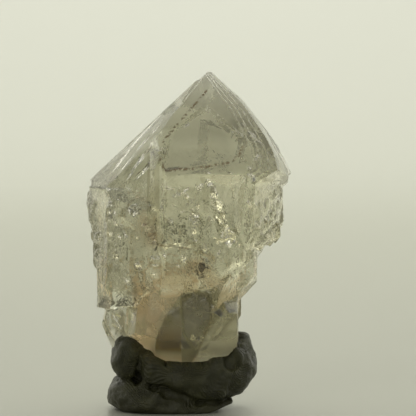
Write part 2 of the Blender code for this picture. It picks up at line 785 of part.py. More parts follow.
def main():
    clear_scene()
    parts = new_collection("smoky_quartz_cluster")
    growth = new_collection("growth")
    hollows = new_collection("hollows")
    putty_helpers = new_collection("putty_helpers")
    stone = quartz_cluster(growth, hollows, parts)
    lump = putty_lump(stone, putty_helpers, parts)
    finished = []
    for thing, name in ((stone, "quartz_cluster"), (lump, "putty_lump")):
        made = frozen(thing, name + "_whole", parts)
        bpy.data.objects.remove(thing)
        made.name = name
        weld(made)
        finished.append(made)
    centre_on_origin(finished)
    finished[0].data.materials.clear()
    finished[0].data.materials.append(new_material("smoky_quartz", STONE_COLOUR, 0.06, 0.85))
    finished[1].data.materials.clear()
    finished[1].data.materials.append(new_material("grey_putty", PUTTY_COLOUR, 0.62))
    finished[1].data.shade_smooth()


main()
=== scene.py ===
"""Smoky quartz cluster pressed into a lump of mineral putty.

The stone is carved from a copy of its plain solid: the copy gets a fine skin, its flanks are
etched, and its end faces stay flat. Thin cracks and dark inclusions are set into the glass. The
putty is creased and kneaded from a copy of its own solid and pushed up against the stone. All
lengths in the settings are real ones.
"""

import math
import random

import bmesh
import bpy
from mathutils import Matrix, Vector, noise
from mathutils.bvhtree import BVHTree


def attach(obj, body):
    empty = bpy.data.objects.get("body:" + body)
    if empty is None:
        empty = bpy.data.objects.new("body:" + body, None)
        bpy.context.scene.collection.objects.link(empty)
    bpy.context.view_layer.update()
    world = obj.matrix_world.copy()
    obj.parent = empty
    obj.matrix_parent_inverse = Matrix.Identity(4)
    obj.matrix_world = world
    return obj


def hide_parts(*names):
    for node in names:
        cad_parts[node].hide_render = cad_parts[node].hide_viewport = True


bl_info = {
    "name": "Smoky quartz cluster",
    "version": (1, 0, 0),
    "blender": (4, 5, 0),
    "location": "3D View > Sidebar > Specimen",
    "description": "Builds a smoky quartz cluster on its putty and the stage around it",
    "category": "Object",
}

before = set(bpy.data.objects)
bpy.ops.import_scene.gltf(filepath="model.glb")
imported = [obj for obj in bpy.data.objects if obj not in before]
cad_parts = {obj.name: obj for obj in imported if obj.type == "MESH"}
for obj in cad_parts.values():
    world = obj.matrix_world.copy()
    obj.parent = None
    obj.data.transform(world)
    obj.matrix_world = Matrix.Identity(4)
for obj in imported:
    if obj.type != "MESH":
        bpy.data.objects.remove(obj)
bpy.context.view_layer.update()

MM = 0.001
QUARTZ_IOR = 1.544

# Which way a sheet in the stone faces to send a light's reflection to the camera
TO_TOP_LIGHT = (0.0, -0.79, 0.61)
TO_KEY_LIGHT = (-0.11, -0.97, 0.23)

# Iron stains as seen from the front, (x, z) in millimetres: the groove round the foot of the large
# end face, its upper left edge, and a crack across the middle of the front
STAINED_GROOVE = ((-4.3, 41.6), (-3.8, 39.9), (1.2, 40.2), (6.8, 41.1), (8.3, 42.3), (8.9, 43.6))
STAINED_EDGE = ((-4.0, 44.4), (3.0, 52.4))
STAINED_CRACK = ((-6.2, 28.0), (0.6, 27.3))

# The middle lines of the rusty patch at the left and the brown patch at the right, the same way
RUSTY_LINE = ((-6.5, 31.0), (-5.8, 28.6))
BROWN_LINE = ((1.2, 24.6), (4.4, 21.6))

# Cracks inside the stone, (middle, length, width, direction it faces, direction of its length).
# Sizes and places are in millimetres, and the last direction is as seen from the front, (x, z).
CRACKS = (
    ((3.6, -8.4, 32.0), 2.4, 1.4, (-0.09, -0.97, 0.27), (0.9, -0.3)),
    ((7.2, -7.4, 36.2), 4.4, 1.6, TO_TOP_LIGHT, (0.3, -0.95)),
    ((-8.6, -1.6, 43.8), 17.0, 1.0, (-0.25, -0.75, 0.61), (0.73, 0.68)),
    ((-7.8, -3.6, 43.1), 15.0, 0.9, (-0.2, -0.77, 0.6), (0.73, 0.68)),
    ((-6.9, -5.4, 42.1), 12.0, 1.0, (-0.15, -0.78, 0.6), (0.73, 0.68)),
    ((-5.9, -6.6, 40.6), 8.0, 1.1, (-0.09, -0.97, 0.22), (0.73, 0.68)),
    ((10.6, -7.2, 45.4), 6.4, 0.8, (-0.13, -0.97, 0.25), (0.62, -0.78)),
    ((13.6, -8.6, 41.4), 4.6, 0.8, (-0.06, -0.97, 0.19), (0.5, -0.87)),
    ((-2.7, -8.6, 27.9), 7.0, 4.0, (0.02, -0.1, 1.0), (1.0, -0.06)),
    ((-4.9, -9.0, 25.8), 2.6, 1.4, (-0.15, -0.97, 0.27), (0.8, 0.5)),
    ((-1.4, -10.6, 36.2), 2.6, 1.4, (-0.11, -0.97, 0.22), (0.6, 0.8)),
    ((0.2, -10.4, 34.6), 2.2, 1.0, (-0.09, -0.97, 0.25), (0.7, 0.7)),
    ((-3.6, -10.2, 34.2), 2.0, 1.2, (-0.13, -0.97, 0.19), (0.5, 0.9)),
    ((-2.6, -9.8, 31.6), 1.8, 1.0, (-0.06, -0.97, 0.27), (0.8, -0.4)),
    ((1.2, -10.2, 31.0), 1.6, 1.2, (-0.15, -0.97, 0.22), (0.4, 0.9)),
    ((12.0, -7.4, 34.4), 2.6, 1.4, (-0.11, -0.97, 0.25), (0.3, -0.9)),
    ((10.8, -8.6, 31.0), 2.4, 1.4, (-0.09, -0.97, 0.19), (0.5, -0.8)),
    ((13.2, -5.2, 30.8), 1.8, 1.2, (-0.13, -0.97, 0.27), (0.7, -0.6)),
    ((-8.6, -9.0, 33.2), 2.4, 2.0, (-0.06, -0.97, 0.22), (0.9, 0.3)),
    ((-12.4, -7.4, 32.4), 2.0, 1.2, (-0.15, -0.97, 0.25), (0.4, 0.9)),
    ((-11.4, -8.0, 26.4), 1.8, 1.2, (-0.11, -0.97, 0.19), (0.8, 0.5)),
    ((-9.8, -8.2, 21.6), 2.2, 1.2, (-0.09, -0.97, 0.27), (0.6, -0.7)),
    ((2.4, -8.6, 27.4), 2.0, 1.4, (-0.15, -0.97, 0.19), (0.7, 0.6)),
    ((-0.2, -6.2, 47.0), 1.6, 0.6, (-0.11, -0.97, 0.27), (0.8, 0.6)),
    ((-11.6, -4.8, 14.6), 3.6, 0.9, (-0.09, -0.97, 0.22), (0.55, -0.85)),
)

# Bright cracks along the left wall and the lower edge of the sunken triangle, the same way
WINDOW_CRACKS = (
    ((3.2, -10.5, 38.0), 2.9, 2.0, (0.15, -0.76, 0.63), (0.32, -0.95)),
    ((3.9, -10.4, 36.1), 2.9, 2.2, (0.12, -0.78, 0.61), (0.34, -0.94)),
    ((4.6, -10.2, 34.1), 2.9, 2.2, (0.16, -0.76, 0.63), (0.36, -0.93)),
    ((5.3, -10.1, 32.1), 2.9, 2.1, (0.13, -0.77, 0.62), (0.38, -0.92)),
    ((6.0, -9.9, 30.2), 2.8, 2.0, (0.15, -0.76, 0.63), (0.4, -0.9)),
    ((6.3, -10.3, 28.7), 4.2, 2.8, TO_TOP_LIGHT, (0.95, -0.3)),
)

# Dark inclusions, the same way
INCLUSIONS = (
    ((2.4, -9.6, 24.6), 2.8, 1.8, (0.1, -0.95, 0.2), (0.6, 0.7)),
    ((2.0, -9.4, 23.4), 2.0, 1.5, (-0.2, -0.9, 0.2), (0.7, -0.5)),
    ((-4.9, -9.6, 27.2), 1.8, 0.5, (0.3, -0.8, 0.4), (0.8, 0.6)),
)

# Fields of small cracks just under the front: lower left and upper right corner, (x, z) in
# millimetres, and how many
GLINT_FIELDS = (
    ((-4.2, 31.4), (2.0, 37.4), 16),
    ((-14.6, 19.0), (-6.6, 34.4), 16),
    ((9.8, 26.0), (14.8, 37.6), 8),
    ((-5.6, 22.6), (8.6, 30.4), 16),
    ((9.6, 38.4), (14.0, 45.0), 5),
    ((-1.4, 10.0), (2.8, 13.0), 8),
    ((-12.6, 12.0), (-8.8, 17.6), 6),
)

# How thick the sheets are, how far they stay under the stone's surface, and its most triangles
SHEET_THICKNESS = 0.03 * MM
SHEET_COVER = 0.25 * MM
MOST_TRIANGLES = 185000

# The dent in the putty's right lobe, in millimetres: middle (x, z), half its width and height, depth
DENT = ((7.1, 8.5), 1.5, 1.9, 0.5)

# The floor and the backdrop that it runs up into, in metres
FLOOR_MIDDLE = 0.25
FLOOR_WIDTH = 3.0
FLOOR_LENGTH = 1.5
BACKDROP_HEIGHT = 1.2
BACKDROP_BEND = 0.4

# Soft lights: name, place, what it shines at and size in metres, power in watts
LIGHTS = (
    ("top_light", (0.0, 0.05, 0.6), (0, 0, 0.03), 0.9, 2.0),
    ("left_light", (-0.6, 0.42, 0.3), (0, 0, 0.03), 0.8, 2.6),
    ("right_light", (0.6, 0.42, 0.3), (0, 0, 0.03), 0.8, 2.6),
    ("back_light", (0.0, 0.75, 0.75), (0, 1.1, 0.1), 0.9, 4.6),
    ("rim_light", (0.0, 0.42, 0.52), (0, 0, 0.03), 0.2, 0.8),
    ("key_light", (-0.25, -0.5, 0.5), (0, 0, 0.03), 0.22, 0.5),
    ("front_light", (-0.15, -0.55, 0.16), (0, -0.1, 0.0), 0.4, 0.3),
)

# The view: its middle, its width at the specimen, degrees from above, and the width of the camera's
# sensor, with every length in millimetres
VIEW_MIDDLE = (3.28, -0.03, 33.02)
VIEW_WIDTH = 68.64
VIEW_ELEVATION = 4.0
SENSOR_WIDTH = 36.0


class StoneSettings(bpy.types.PropertyGroup):
    """Sizes and colours of the stone"""

    skin: bpy.props.FloatProperty(
        name="Skin",
        description="Size of the fine facets that the stone's surface is built from",
        default=0.23 * MM,
        unit="LENGTH",
        subtype="DISTANCE",
    )
    etching: bpy.props.FloatProperty(
        name="Etching",
        description="Depth of the larger etch pits on the flanks",
        default=0.25 * MM,
        unit="LENGTH",
        subtype="DISTANCE",
    )
    clear_tint: bpy.props.FloatVectorProperty(
        name="Clear tint",
        description="Colour of the pale upper crystals",
        default=(0.97, 0.965, 0.92),
        size=3,
        subtype="COLOR",
    )
    smoke_tint: bpy.props.FloatVectorProperty(
        name="Smoke tint",
        description="Colour of the smoky crystal at the foot",
        default=(0.36, 0.33, 0.23),
        size=3,
        subtype="COLOR",
    )
    glow_tint: bpy.props.FloatVectorProperty(
        name="Glow tint",
        description="Colour of the warm zone between the pale crystals and the smoky one",
        default=(0.62, 0.47, 0.32),
        size=3,
        subtype="COLOR",
    )


class PuttySettings(bpy.types.PropertyGroup):
    """Size and colour of the putty's skin"""

    skin: bpy.props.FloatProperty(
        name="Skin",
        description="Size of the fine facets that the putty's surface is built from",
        default=0.2 * MM,
        unit="LENGTH",
        subtype="DISTANCE",
    )
    colour: bpy.props.FloatVectorProperty(
        name="Colour",
        description="Colour of the putty",
        default=(0.041, 0.041, 0.015),
        size=3,
        subtype="COLOR",
    )


class StageSettings(bpy.types.PropertyGroup):
    """The backdrop's colour and the camera's distance"""

    backdrop: bpy.props.FloatVectorProperty(
        name="Backdrop",
        description="Colour of the floor and of the backdrop it runs up into",
        default=(0.7, 0.71, 0.67),
        size=3,
        subtype="COLOR",
    )
    distance: bpy.props.FloatProperty(
        name="Camera distance",
        description="Distance from the camera to the middle of the specimen",
        default=450 * MM,
        unit="LENGTH",
        subtype="DISTANCE",
    )


class Value:
    """A number in a shader, so that sums of numbers are written as sums."""

    def __init__(self, finish, socket):
        self.finish = finish
        self.socket = socket

    def _with(self, operation, *others):
        return self.finish.maths(operation, self, *others)

    def __add__(self, other):
        return self._with("ADD", other)

    def __sub__(self, other):
        return self._with("SUBTRACT", other)

    def __mul__(self, other):
        return self._with("MULTIPLY", other)

    def __truediv__(self, other):
        return self._with("DIVIDE", other)

    def __rsub__(self, other):
        return self.finish.maths("SUBTRACT", other, self)

    def __pow__(self, other):
        return self._with("POWER", other)

    __radd__ = __add__
    __rmul__ = __mul__

    def at_most(self, other):
        return self._with("MINIMUM", other)

    def at_least(self, other):
        return self._with("MAXIMUM", other)

    def root(self):
        return self._with("SQRT")

    def rise(self, low, high):
        """0 below low and 1 above high, with a soft change between; falls if high is lower."""
        falls = high < low
        made = self.finish.node(
            "ShaderNodeMapRange",
            {"interpolation_type": "SMOOTHSTEP"},
            {
                "Value": self,
                "From Min": min(low, high),
                "From Max": max(low, high),
                "To Min": 1.0 if falls else 0.0,
                "To Max": 0.0 if falls else 1.0,
            },
        )
        return Value(self.finish, made.outputs["Result"])

    def between(self, low, high, soft):
        """1 from low to high, with a soft change to 0 outside them."""
        return self.rise(low - soft, low) * self.rise(high + soft, high)


class Finish:
    """A material and the nodes that make it."""

    def __init__(self, name):
        self.material = bpy.data.materials.new(name)
        self.material.use_nodes = True
        self.tree = self.material.node_tree
        self.tree.nodes.clear()

    def node(self, kind, settings=None, sockets=None):
        """Adds a node of that kind, with its settings and the values or links of its sockets."""
        made = self.tree.nodes.new(kind)
        for key, value in (settings or {}).items():
            setattr(made, key, value)
        for key, value in (sockets or {}).items():
            socket = made.inputs[key]
            if isinstance(value, Value):
                self.tree.links.new(value.socket, socket)
            elif isinstance(value, bpy.types.NodeSocket):
                self.tree.links.new(value, socket)
            else:
                socket.default_value = value
        return made

    def maths(self, operation, *values):
        """The result of a Math node on these numbers."""
        made = self.node("ShaderNodeMath", {"operation": operation}, dict(enumerate(values)))
        return Value(self, made.outputs[0])

    def place(self):
        """Object coordinates in millimetres, as x, y and z and as one vector."""
        where = self.node("ShaderNodeTexCoord").outputs["Object"]
        scaled = self.node(
            "ShaderNodeVectorMath", {"operation": "SCALE"}, {0: where, "Scale": 1 / MM}
        )
        parts = self.node("ShaderNodeSeparateXYZ", None, {0: scaled.outputs[0]})
        return [Value(self, part) for part in parts.outputs] + [scaled.outputs[0]]

    def stretched(self, vector, scale, turn=(0, 0, 0)):
        """A vector scaled and then turned by these degrees, to stretch the pattern that reads it."""
        rotation = [math.radians(angle) for angle in turn]
        made = self.node(
            "ShaderNodeMapping", None, {"Vector": vector, "Scale": scale, "Rotation": rotation}
        )
        return made.outputs[0]

    def clouds(self, vector, size, detail=3.0, roughness=0.55):
        """Noise with patches of about that size, in millimetres."""
        made = self.node(
            "ShaderNodeTexNoise",
            None,
            {"Vector": vector, "Scale": 1 / size, "Detail": detail, "Roughness": roughness},
        )
        return Value(self, made.outputs[0])

    def cells(self, vector, size, feature="F1", out="Distance"):
        """Cells of about that size, in millimetres."""
        made = self.node(
            "ShaderNodeTexVoronoi", {"feature": feature}, {"Vector": vector, "Scale": 1 / size}
        )
        return Value(self, made.outputs[out])

    def mix(self, share, first, second):
        """A colour between two others."""
        made = self.node(
            "ShaderNodeMix",
            {"data_type": "RGBA"},
            {0: share, 6: self.opaque(first), 7: self.opaque(second)},
        )
        return made.outputs[2]

    @staticmethod
    def opaque(colour):
        """A colour with an alpha of 1; a link to a colour is left as it is."""
        if isinstance(colour, bpy.types.NodeSocket):
            return colour
        return (*colour, 1.0)

    def relief(self, height, depth, under=None):
        """A bump of that height times that depth, in millimetres, perhaps on top of another bump."""
        sockets = {"Height": height, "Distance": depth * MM, "Strength": 1.0}
        if under is not None:
            sockets["Normal"] = under
        return self.node("ShaderNodeBump", None, sockets).outputs[0]

    def surface(self, shader, volume=None):
        """The material, with that shader as its surface and perhaps one for its inside."""
        out = self.node("ShaderNodeOutputMaterial", None, {"Surface": shader})
        if volume is not None:
            self.tree.links.new(volume, out.inputs["Volume"])
        return self.material


def edge_distance(x, z, start, end):
    """Distance in the front view, in millimetres, from a line between two points (x, z)."""
    run = Vector((end[0] - start[0], end[1] - start[1]))
    length = run.length
    ux, uz = run.x / length, run.y / length
    dx, dz = x - start[0], z - start[1]
    along = (dx * ux + dz * uz).at_least(0.0).at_most(length)
    ox, oz = dx - along * ux, dz - along * uz
    return (ox * ox + oz * oz).root()


def nearest_edge(x, z, points):
    """Distance in the front view from the nearest part of an open line of points."""
    found = None
    for start, end in zip(points, points[1:]):
        distance = edge_distance(x, z, start, end)
        found = distance if found is None else found.at_most(distance)
    return found


def toned(colour, *tones):
    """A colour times one number, or times a number for each of its channels."""
    each = tones if len(tones) > 1 else tones * 3
    return [part * tone for part, tone in zip(colour, each)]


class StoneFinish(Finish):
    """Clear quartz: flat end faces, etched flanks, iron stains in the grooves, smoke at the foot."""

    def __init__(self, settings):
        super().__init__("clear_smoky_quartz")
        self.settings = settings
        self.x, self.y, self.z, self.vector = self.place()
        self.front = self.y.rise(-1.0, -2.0)
        self.flank = self.z.rise(39.0, 36.5)
        self.cloud = self.clouds(self.vector, 7.0, 2.0)
        self.rust = edge_distance(self.x, self.z, *RUSTY_LINE)
        # The curved left outline of the smoky foot, x at each height
        self.left_of_smoke = ((self.z - 11.0).at_least(0.0) / 12.6) ** 1.6 * 7.7 - 5.3

    def smoke(self):
        """How smoky each spot is: the foot, the large end face, and bands on the flanks."""
        x, z = self.x, self.z
        foot = (x - self.left_of_smoke).rise(-0.3, 0.3) * z.rise(21.6, 19.4) * z.rise(8.6, 10.8)
        upright_cells = self.stretched(self.vector, (1, 1, 0.3), (0, 0, 20))
        column = self.cells(upright_cells, 4.5, "F1", "Color")
        window = x.between(3.6, 9.0, 0.4) * z.between(29.4, 39.0, 0.4)
        dull = self.flank * z.rise(22.0, 24.0) * (0.04 + column * 0.34) * (1.0 - window)
        end_face = z.rise(39.0, 40.5) * z.rise(51.0, 46.0) * x.rise(-5.0, -3.0)
        blade = x.between(-6.5, -4.6, 0.15) * z.between(31.0, 43.0, 0.4) * self.front
        left_band = x.between(-9.2, -6.9, 0.2) * z.between(20.4, 30.6, 0.3) * self.front
        foot = foot * (0.8 + self.cloud * 0.6)
        return (foot + dull + end_face * 0.34 + blade * 0.6 + left_band * 0.32).at_most(1.0)

    def zones(self):
        """Colour of the glass in soft zones: clear, warm, smoky and rusty."""
        x, z = self.x, self.z
        brown = edge_distance(x, z, *BROWN_LINE)
        glow = z.rise(25.5, 22.5) * x.between(-8.4, 1.4, 1.0) * self.cloud.rise(0.2, 0.5)
        glow = glow.at_least(self.rust.rise(2.8, 0.4) * 0.7).at_least(brown.rise(2.2, 0.6) * 0.9)
        warm = self.mix(glow * 0.95, self.settings.clear_tint, self.settings.glow_tint)
        tint = self.mix(self.smoke(), warm, self.settings.smoke_tint)
        rusty = self.rust.rise(2.6, 0.4) * self.front * self.cloud.rise(0.3, 0.6)
        return self.mix(rusty * 0.6, tint, toned(self.settings.glow_tint, 0.85, 0.8, 0.6))

    def tint(self):
        """Colour of the glass: its zones, and the round, upright and leaning crystals at the foot."""
        x, z, smoke_tint = self.x, self.z, self.settings.smoke_tint
        tint = self.zones()
        height = z.rise(9.6, 10.8) * z.rise(17.5, 12.5)
        round_body = height * x.rise(-0.9, -1.1) * (x - self.left_of_smoke).rise(-0.1, 0.1)
        tint = self.mix(round_body * self.front * 0.97, tint, toned(smoke_tint, 0.35, 0.22, 0.08))
        right_side = ((z - 9.8) * 0.464 + 1.3).at_most(4.0)
        upright = (x + 1.0).rise(-0.1, 0.1) * (right_side - x).rise(-0.1, 0.1) * z.rise(20.0, 19.7)
        tint = self.mix(upright * self.front * 0.88, tint, toned(smoke_tint, 0.42))
        leaning = (x - right_side).rise(0.1, 0.4) * (z - x * 1.37).rise(9.2, 8.8) * z.rise(19.0, 18.0)
        return self.mix(leaning * self.front * 0.52, tint, self.settings.clear_tint)

    def roughness(self):
        """Frosted behind, hazy on the flanks, satin at the foot, polished on the end faces."""
        x, y, z = self.x, self.y, self.z
        haze = self.clouds(self.vector, 4.0, 4.0).rise(0.42, 0.68)
        satin = z.rise(21.0, 18.0) * x.rise(-8.0, -7.0) * 0.1
        in_putty = z.rise(13.0, 10.0) * 0.5
        rough_front = 0.02 + self.flank * (0.05 + haze * 0.13) + satin + in_putty
        frosted = y.rise(-0.4, 2.0) * (0.3 + z.rise(28.0, 32.0) * 0.3 + z.rise(42.0, 45.0) * 0.18)
        return (rough_front + frosted).at_most(0.95)

    def fine_relief(self):
        """Soft waves all over, growth lines on the roof, and three sizes of etching on the flanks."""
        z, vector = self.z, self.vector
        soft_waves = self.relief(self.clouds(vector, 6.0, 1.0), 0.3)
        along_roof = self.stretched(vector, (1, 1, 1), (0, 43.0, 0))
        growth = self.clouds(self.stretched(along_roof, (0.02, 0.3, 2.4)), 1.0, 3.0)
        roof = z.rise(36.0, 39.0) * self.x.rise(0.5, -2.0)
        stepped = self.relief(growth * roof, 0.12, soft_waves)
        hammered = self.cells(vector, 0.6, "SMOOTH_F1") * self.flank * z.rise(17.0, 22.0)
        fine = self.relief(hammered, 0.075, stepped)
        coarse = self.cells(self.stretched(vector, (1, 1, 0.5)), 1.7) * self.flank * z.rise(22.0, 25.0)
        uneven = self.relief(coarse, 0.1, fine)
        hillocks = self.maths("SINE", self.clouds(vector, 2.6, 2.0) * 75.0)
        return self.relief(hillocks * self.flank * z.rise(16.0, 18.0), 0.013, uneven)

    def stains(self):
        """How stained each spot of the front is, by iron in the grooves and in the rusty patch."""
        x, z = self.x, self.z
        speckle = self.clouds(self.vector, 0.55, 3.0, 0.6)
        groove = nearest_edge(x, z, STAINED_GROOVE).rise(0.4, 0.05) * speckle.rise(0.44, 0.56)
        edge = edge_distance(x, z, *STAINED_EDGE).rise(0.35, 0.05) * speckle.rise(0.47, 0.56)
        crack = edge_distance(x, z, *STAINED_CRACK).rise(0.16, 0.04) * 0.5
        patch = self.rust.rise(1.3, 0.3) * speckle.rise(0.42, 0.6) * 0.6
        return groove.at_least(edge).at_least(crack).at_least(patch) * self.front * 0.8

    def made(self):
        """The material of clear glass, stained with iron and tinted through its depth."""
        glass = self.node(
            "ShaderNodeBsdfPrincipled",
            None,
            {
                "Base Color": self.tint(),
                "Roughness": self.roughness(),
                "IOR": QUARTZ_IOR,
                "Transmission Weight": 1.0,
                "Normal": self.fine_relief(),
            },
        )
        iron = self.node(
            "ShaderNodeBsdfPrincipled",
            None,
            {"Base Color": self.opaque((0.16, 0.095, 0.04)), "Roughness": 0.7},
        )
        stained = self.node(
            "ShaderNodeMixShader", None, {0: self.stains(), 1: glass.outputs[0], 2: iron.outputs[0]}
        )
        inside = self.node(
            "ShaderNodeVolumeAbsorption",
            None,
            {"Color": self.opaque((0.55, 0.53, 0.27)), "Density": 42.0},
        )
        return self.surface(stained.outputs[0], inside.outputs[0])


def sheet_finish(name, colour, metallic, roughness, opacity, gaps=0.36, waves=0.2):
    """A thin sheet inside the stone that comes and goes in patches."""
    finish = Finish(name)
    *_, vector = finish.place()
    patches = finish.clouds(vector, 1.3, 4.0, 0.65).rise(gaps, gaps + 0.2)
    shader = finish.node(
        "ShaderNodeBsdfPrincipled",
        None,
        {
            "Base Color": finish.opaque(colour),
            "Metallic": metallic,
            "Roughness": roughness,
            "Alpha": patches * opacity,
            "Normal": finish.relief(finish.clouds(vector, 0.8, 2.0), waves),
        },
    )
    return finish.surface(shader.outputs[0])


def putty_finish(settings):
    """Dark mineral putty: matt, greasy in patches, with fingerprint ridges."""
    finish = Finish("grey_putty")
    x, _, z, vector = finish.place()
    mottle = finish.clouds(vector, 3.0, 4.0)
    dark, light = toned(settings.colour, 0.75), toned(settings.colour, 1.3)
    bend = finish.clouds(vector, 5.0, 1.0)
    ridge_width = 0.62
    across = x * 0.6 + z * 1.1 + bend * 9.0
    swirl = finish.maths("SINE", across * (2 * math.pi / ridge_width))
    ridges = finish.relief(swirl * bend.rise(0.46, 0.56), 0.05)
    grain = finish.relief(finish.clouds(vector, 0.3, 4.0, 0.7), 0.16, ridges)
    shader = finish.node(
        "ShaderNodeBsdfPrincipled",
        None,
        {
            "Base Color": finish.mix(mottle.rise(0.35, 0.7), dark, light),
            "Roughness": 0.34 + mottle * 0.2,
            "Specular IOR Level": 0.5,
            "Normal": grain,
        },
    )
    return finish.surface(shader.outputs[0])


def stage_finish(settings):
    """A pale floor with painted light: painted shade darkens it round the specimen, and it is painted
    brighter far behind it, up into the backdrop, and half as much brighter in front of it.
    """
    finish = Finish("pale_floor_painted_light")
    _, y, _, _ = finish.place()
    # Painted light: the paler colour takes over from 300 to 1300 mm behind the specimen, and by half
    # in front of it, where it throws more light up onto the putty; the darker colour round the
    # specimen is painted shade
    far = y.rise(300.0, 1300.0).at_least(y.rise(-30.0, -60.0) * 0.5)
    painted_shade_near_colour, painted_light_far_colour = toned(settings.backdrop, 0.5, 0.5, 0.45), toned(settings.backdrop, 1.26)
    shader = finish.node(
        "ShaderNodeBsdfPrincipled",
        None,
        {"Base Color": finish.mix(far, painted_shade_near_colour, painted_light_far_colour), "Roughness": 0.35},
    )
    return finish.surface(shader.outputs[0])


def deselect():
    """Leaves nothing selected."""
    bpy.ops.object.select_all(action="DESELECT")


def only(thing):
    """Selects this object alone and makes it the active one."""
    deselect()
    thing.select_set(True)
    bpy.context.view_layer.objects.active = thing


def select_points(thing, wanted):
    """Selects, in edit mode, the points whose place passes a test, and what lies between them."""
    bpy.ops.mesh.select_all(action="DESELECT")
    bm = bmesh.from_edit_mesh(thing.data)
    for vertex in bm.verts:
        vertex.select = wanted(vertex.co)
    bm.select_flush(True)
    bmesh.update_edit_mesh(thing.data)


def apply_modifier(thing, kind, **settings):
    """Adds a modifier with these settings and applies it."""
    only(thing)
    modifier = thing.modifiers.new(kind.lower(), kind)
    for key, value in settings.items():
        setattr(modifier, key, value)
    bpy.ops.object.modifier_apply(modifier=modifier.name)


def copy_of_solid(node, name):
    """A copy of a plain solid with its loose triangles joined."""
    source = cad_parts[node]
    mesh = source.data.copy()
    mesh.materials.clear()
    made = bpy.data.objects.new(name, mesh)
    bpy.context.scene.collection.objects.link(made)
    only(made)
    bpy.ops.object.mode_set(mode="EDIT")
    bpy.ops.mesh.select_all(action="SELECT")
    bpy.ops.mesh.remove_doubles(threshold=0.0002 * MM)
    bpy.ops.object.mode_set(mode="OBJECT")
    return made


def smoothstep(value, low, high):
    """0 below low and 1 above high, with a soft change between."""
    share = min(1.0, max(0.0, (value - low) / (high - low)))
    return share * share * (3 - 2 * share)


def weigh(thing, name, weight):
    """A vertex group from a function of each point, in millimetres, and its normal, in even steps."""
    group = thing.vertex_groups.new(name=name)
    count = 20
    steps = {}
    for vertex in thing.data.vertices:
        step = round(count * weight(vertex.co / MM, vertex.normal))
        if step:
            steps.setdefault(step, []).append(vertex.index)
    for step, members in steps.items():
        group.add(members, step / count, "REPLACE")


def etched(place, normal):
    """How strongly that spot of the stone is etched: not on end faces nor on the smooth foot."""
    x, y, z = place
    end_face = smoothstep(normal.z, 0.42, 0.55) * smoothstep(z, 34.0, 37.0)
    roof = smoothstep(z, 36.8, 38.6)
    foot = 1 - smoothstep(z, 17.0, 23.5 if x > -8.0 else 19.0)
    window = 3.0 < x < 9.0 and 29.5 < z < 39.5 and y < -6.0 and abs(normal.x) > 0.2
    clear_block = smoothstep(x, 13.6, 14.4) * smoothstep(z, 30.0, 31.0)
    return max(0.0, 1 - max(end_face, roof, 0.9 * foot, 0.8 * window, 0.6 * clear_block))


def softened(place, normal):
    """How strongly that spot's edges are softened: less on the right flank."""
    return etched(place, normal) * (1 - 0.65 * smoothstep(place.x, 8.6, 10.0))


def worn(place, normal):
    """How strongly that spot is worn smooth: the middle of the front, beside the window."""
    x, y, z = place
    across = smoothstep(x, -6.0, -5.0) * (1 - smoothstep(x, 9.0, 10.0))
    window = smoothstep(x, 1.8, 2.4) * (1 - smoothstep(x, 9.0, 9.6)) * smoothstep(z, 28.4, 29.2)
    height = smoothstep(z, 22.6, 24.0) * (1 - smoothstep(z, 36.6, 38.6))
    return across * height * (1 - window) * (1 - smoothstep(y, -8.6, -7.6))


def rounded(place, normal):
    """How strongly that spot is rounded: the round body at the left of the smoky foot."""
    x, y, z = place
    across = smoothstep(x, -7.0, -5.6) * (1 - smoothstep(x, -1.8, -1.0))
    return across * (1 - smoothstep(y, -6.0, -4.0)) * (1 - smoothstep(z, 16.6, 18.0))


def weathered(place, normal):
    """How strongly that spot of the back is etched; its end faces only a little."""
    return smoothstep(place.y, 0.6, 2.4) * (1 - 0.75 * smoothstep(place.z, 31.0, 35.0))


def free(place, normal):
    """How freely that spot of the putty is kneaded: its underside stays flat on the floor."""
    return smoothstep(place.z, 0.2, 1.2)


def relief_texture(name, kind, size, **settings):
    """A texture with features of about that size, in millimetres, for a relief."""
    texture = bpy.data.textures.new(name, kind)
    texture.noise_scale = size * MM
    for key, value in settings.items():
        setattr(texture, key, value)
    return texture


def carve(thing, group, texture, depth, middle):
    """Moves that group of points in and out by a texture; its value middle moves nothing."""
    apply_modifier(
        thing,
        "DISPLACE",
        texture=texture,
        strength=depth,
        mid_level=middle,
        vertex_group=group,
        texture_coords="LOCAL",
    )


def build_stone(settings):
    """The stone's fine skin, with its flanks etched and its end faces left flat."""
    solid = copy_of_solid("quartz_cluster", "quartz_solid")
    stone = copy_of_solid("quartz_cluster", "quartz_stone")
    apply_modifier(stone, "REMESH", mode="VOXEL", voxel_size=settings.skin)
    apply_modifier(stone, "SHRINKWRAP", target=solid, wrap_method="NEAREST_SURFACEPOINT")
    weigh(stone, "etched", etched)
    for group, weight, rounds in (
        ("softened", softened, 12),
        ("worn", worn, 50),
        ("rounded", rounded, 60),
    ):
        weigh(stone, group, weight)
        apply_modifier(stone, "SMOOTH", factor=0.5, iterations=rounds, vertex_group=group)
    plates = relief_texture(
        "plates", "VORONOI", 2.2, distance_metric="CHEBYCHEV", weight_1=-1.0, weight_2=1.0
    )
    carve(stone, "etched", plates, settings.etching, 0.45)
    weigh(stone, "weathered", weathered)
    carve(stone, "weathered", plates, settings.etching * 2, 0.85)
    pits = relief_texture("etch_pits", "VORONOI", 0.9, weight_1=-1.0, weight_2=1.0)
    carve(stone, "etched", pits, settings.etching * 0.4, 0.45)
    waves = relief_texture("waves", "CLOUDS", 1.3, noise_depth=2)
    carve(stone, "etched", waves, settings.etching * 0.7, 0.5)
    bpy.data.objects.remove(solid)
    triangles = sum(len(face.vertices) - 2 for face in stone.data.polygons)
    apply_modifier(stone, "DECIMATE", ratio=min(1.0, MOST_TRIANGLES / triangles))
    only(stone)
    bpy.ops.object.shade_smooth_by_angle(angle=math.radians(32))
    stone.data.materials.append(StoneFinish(settings).made())
    return stone


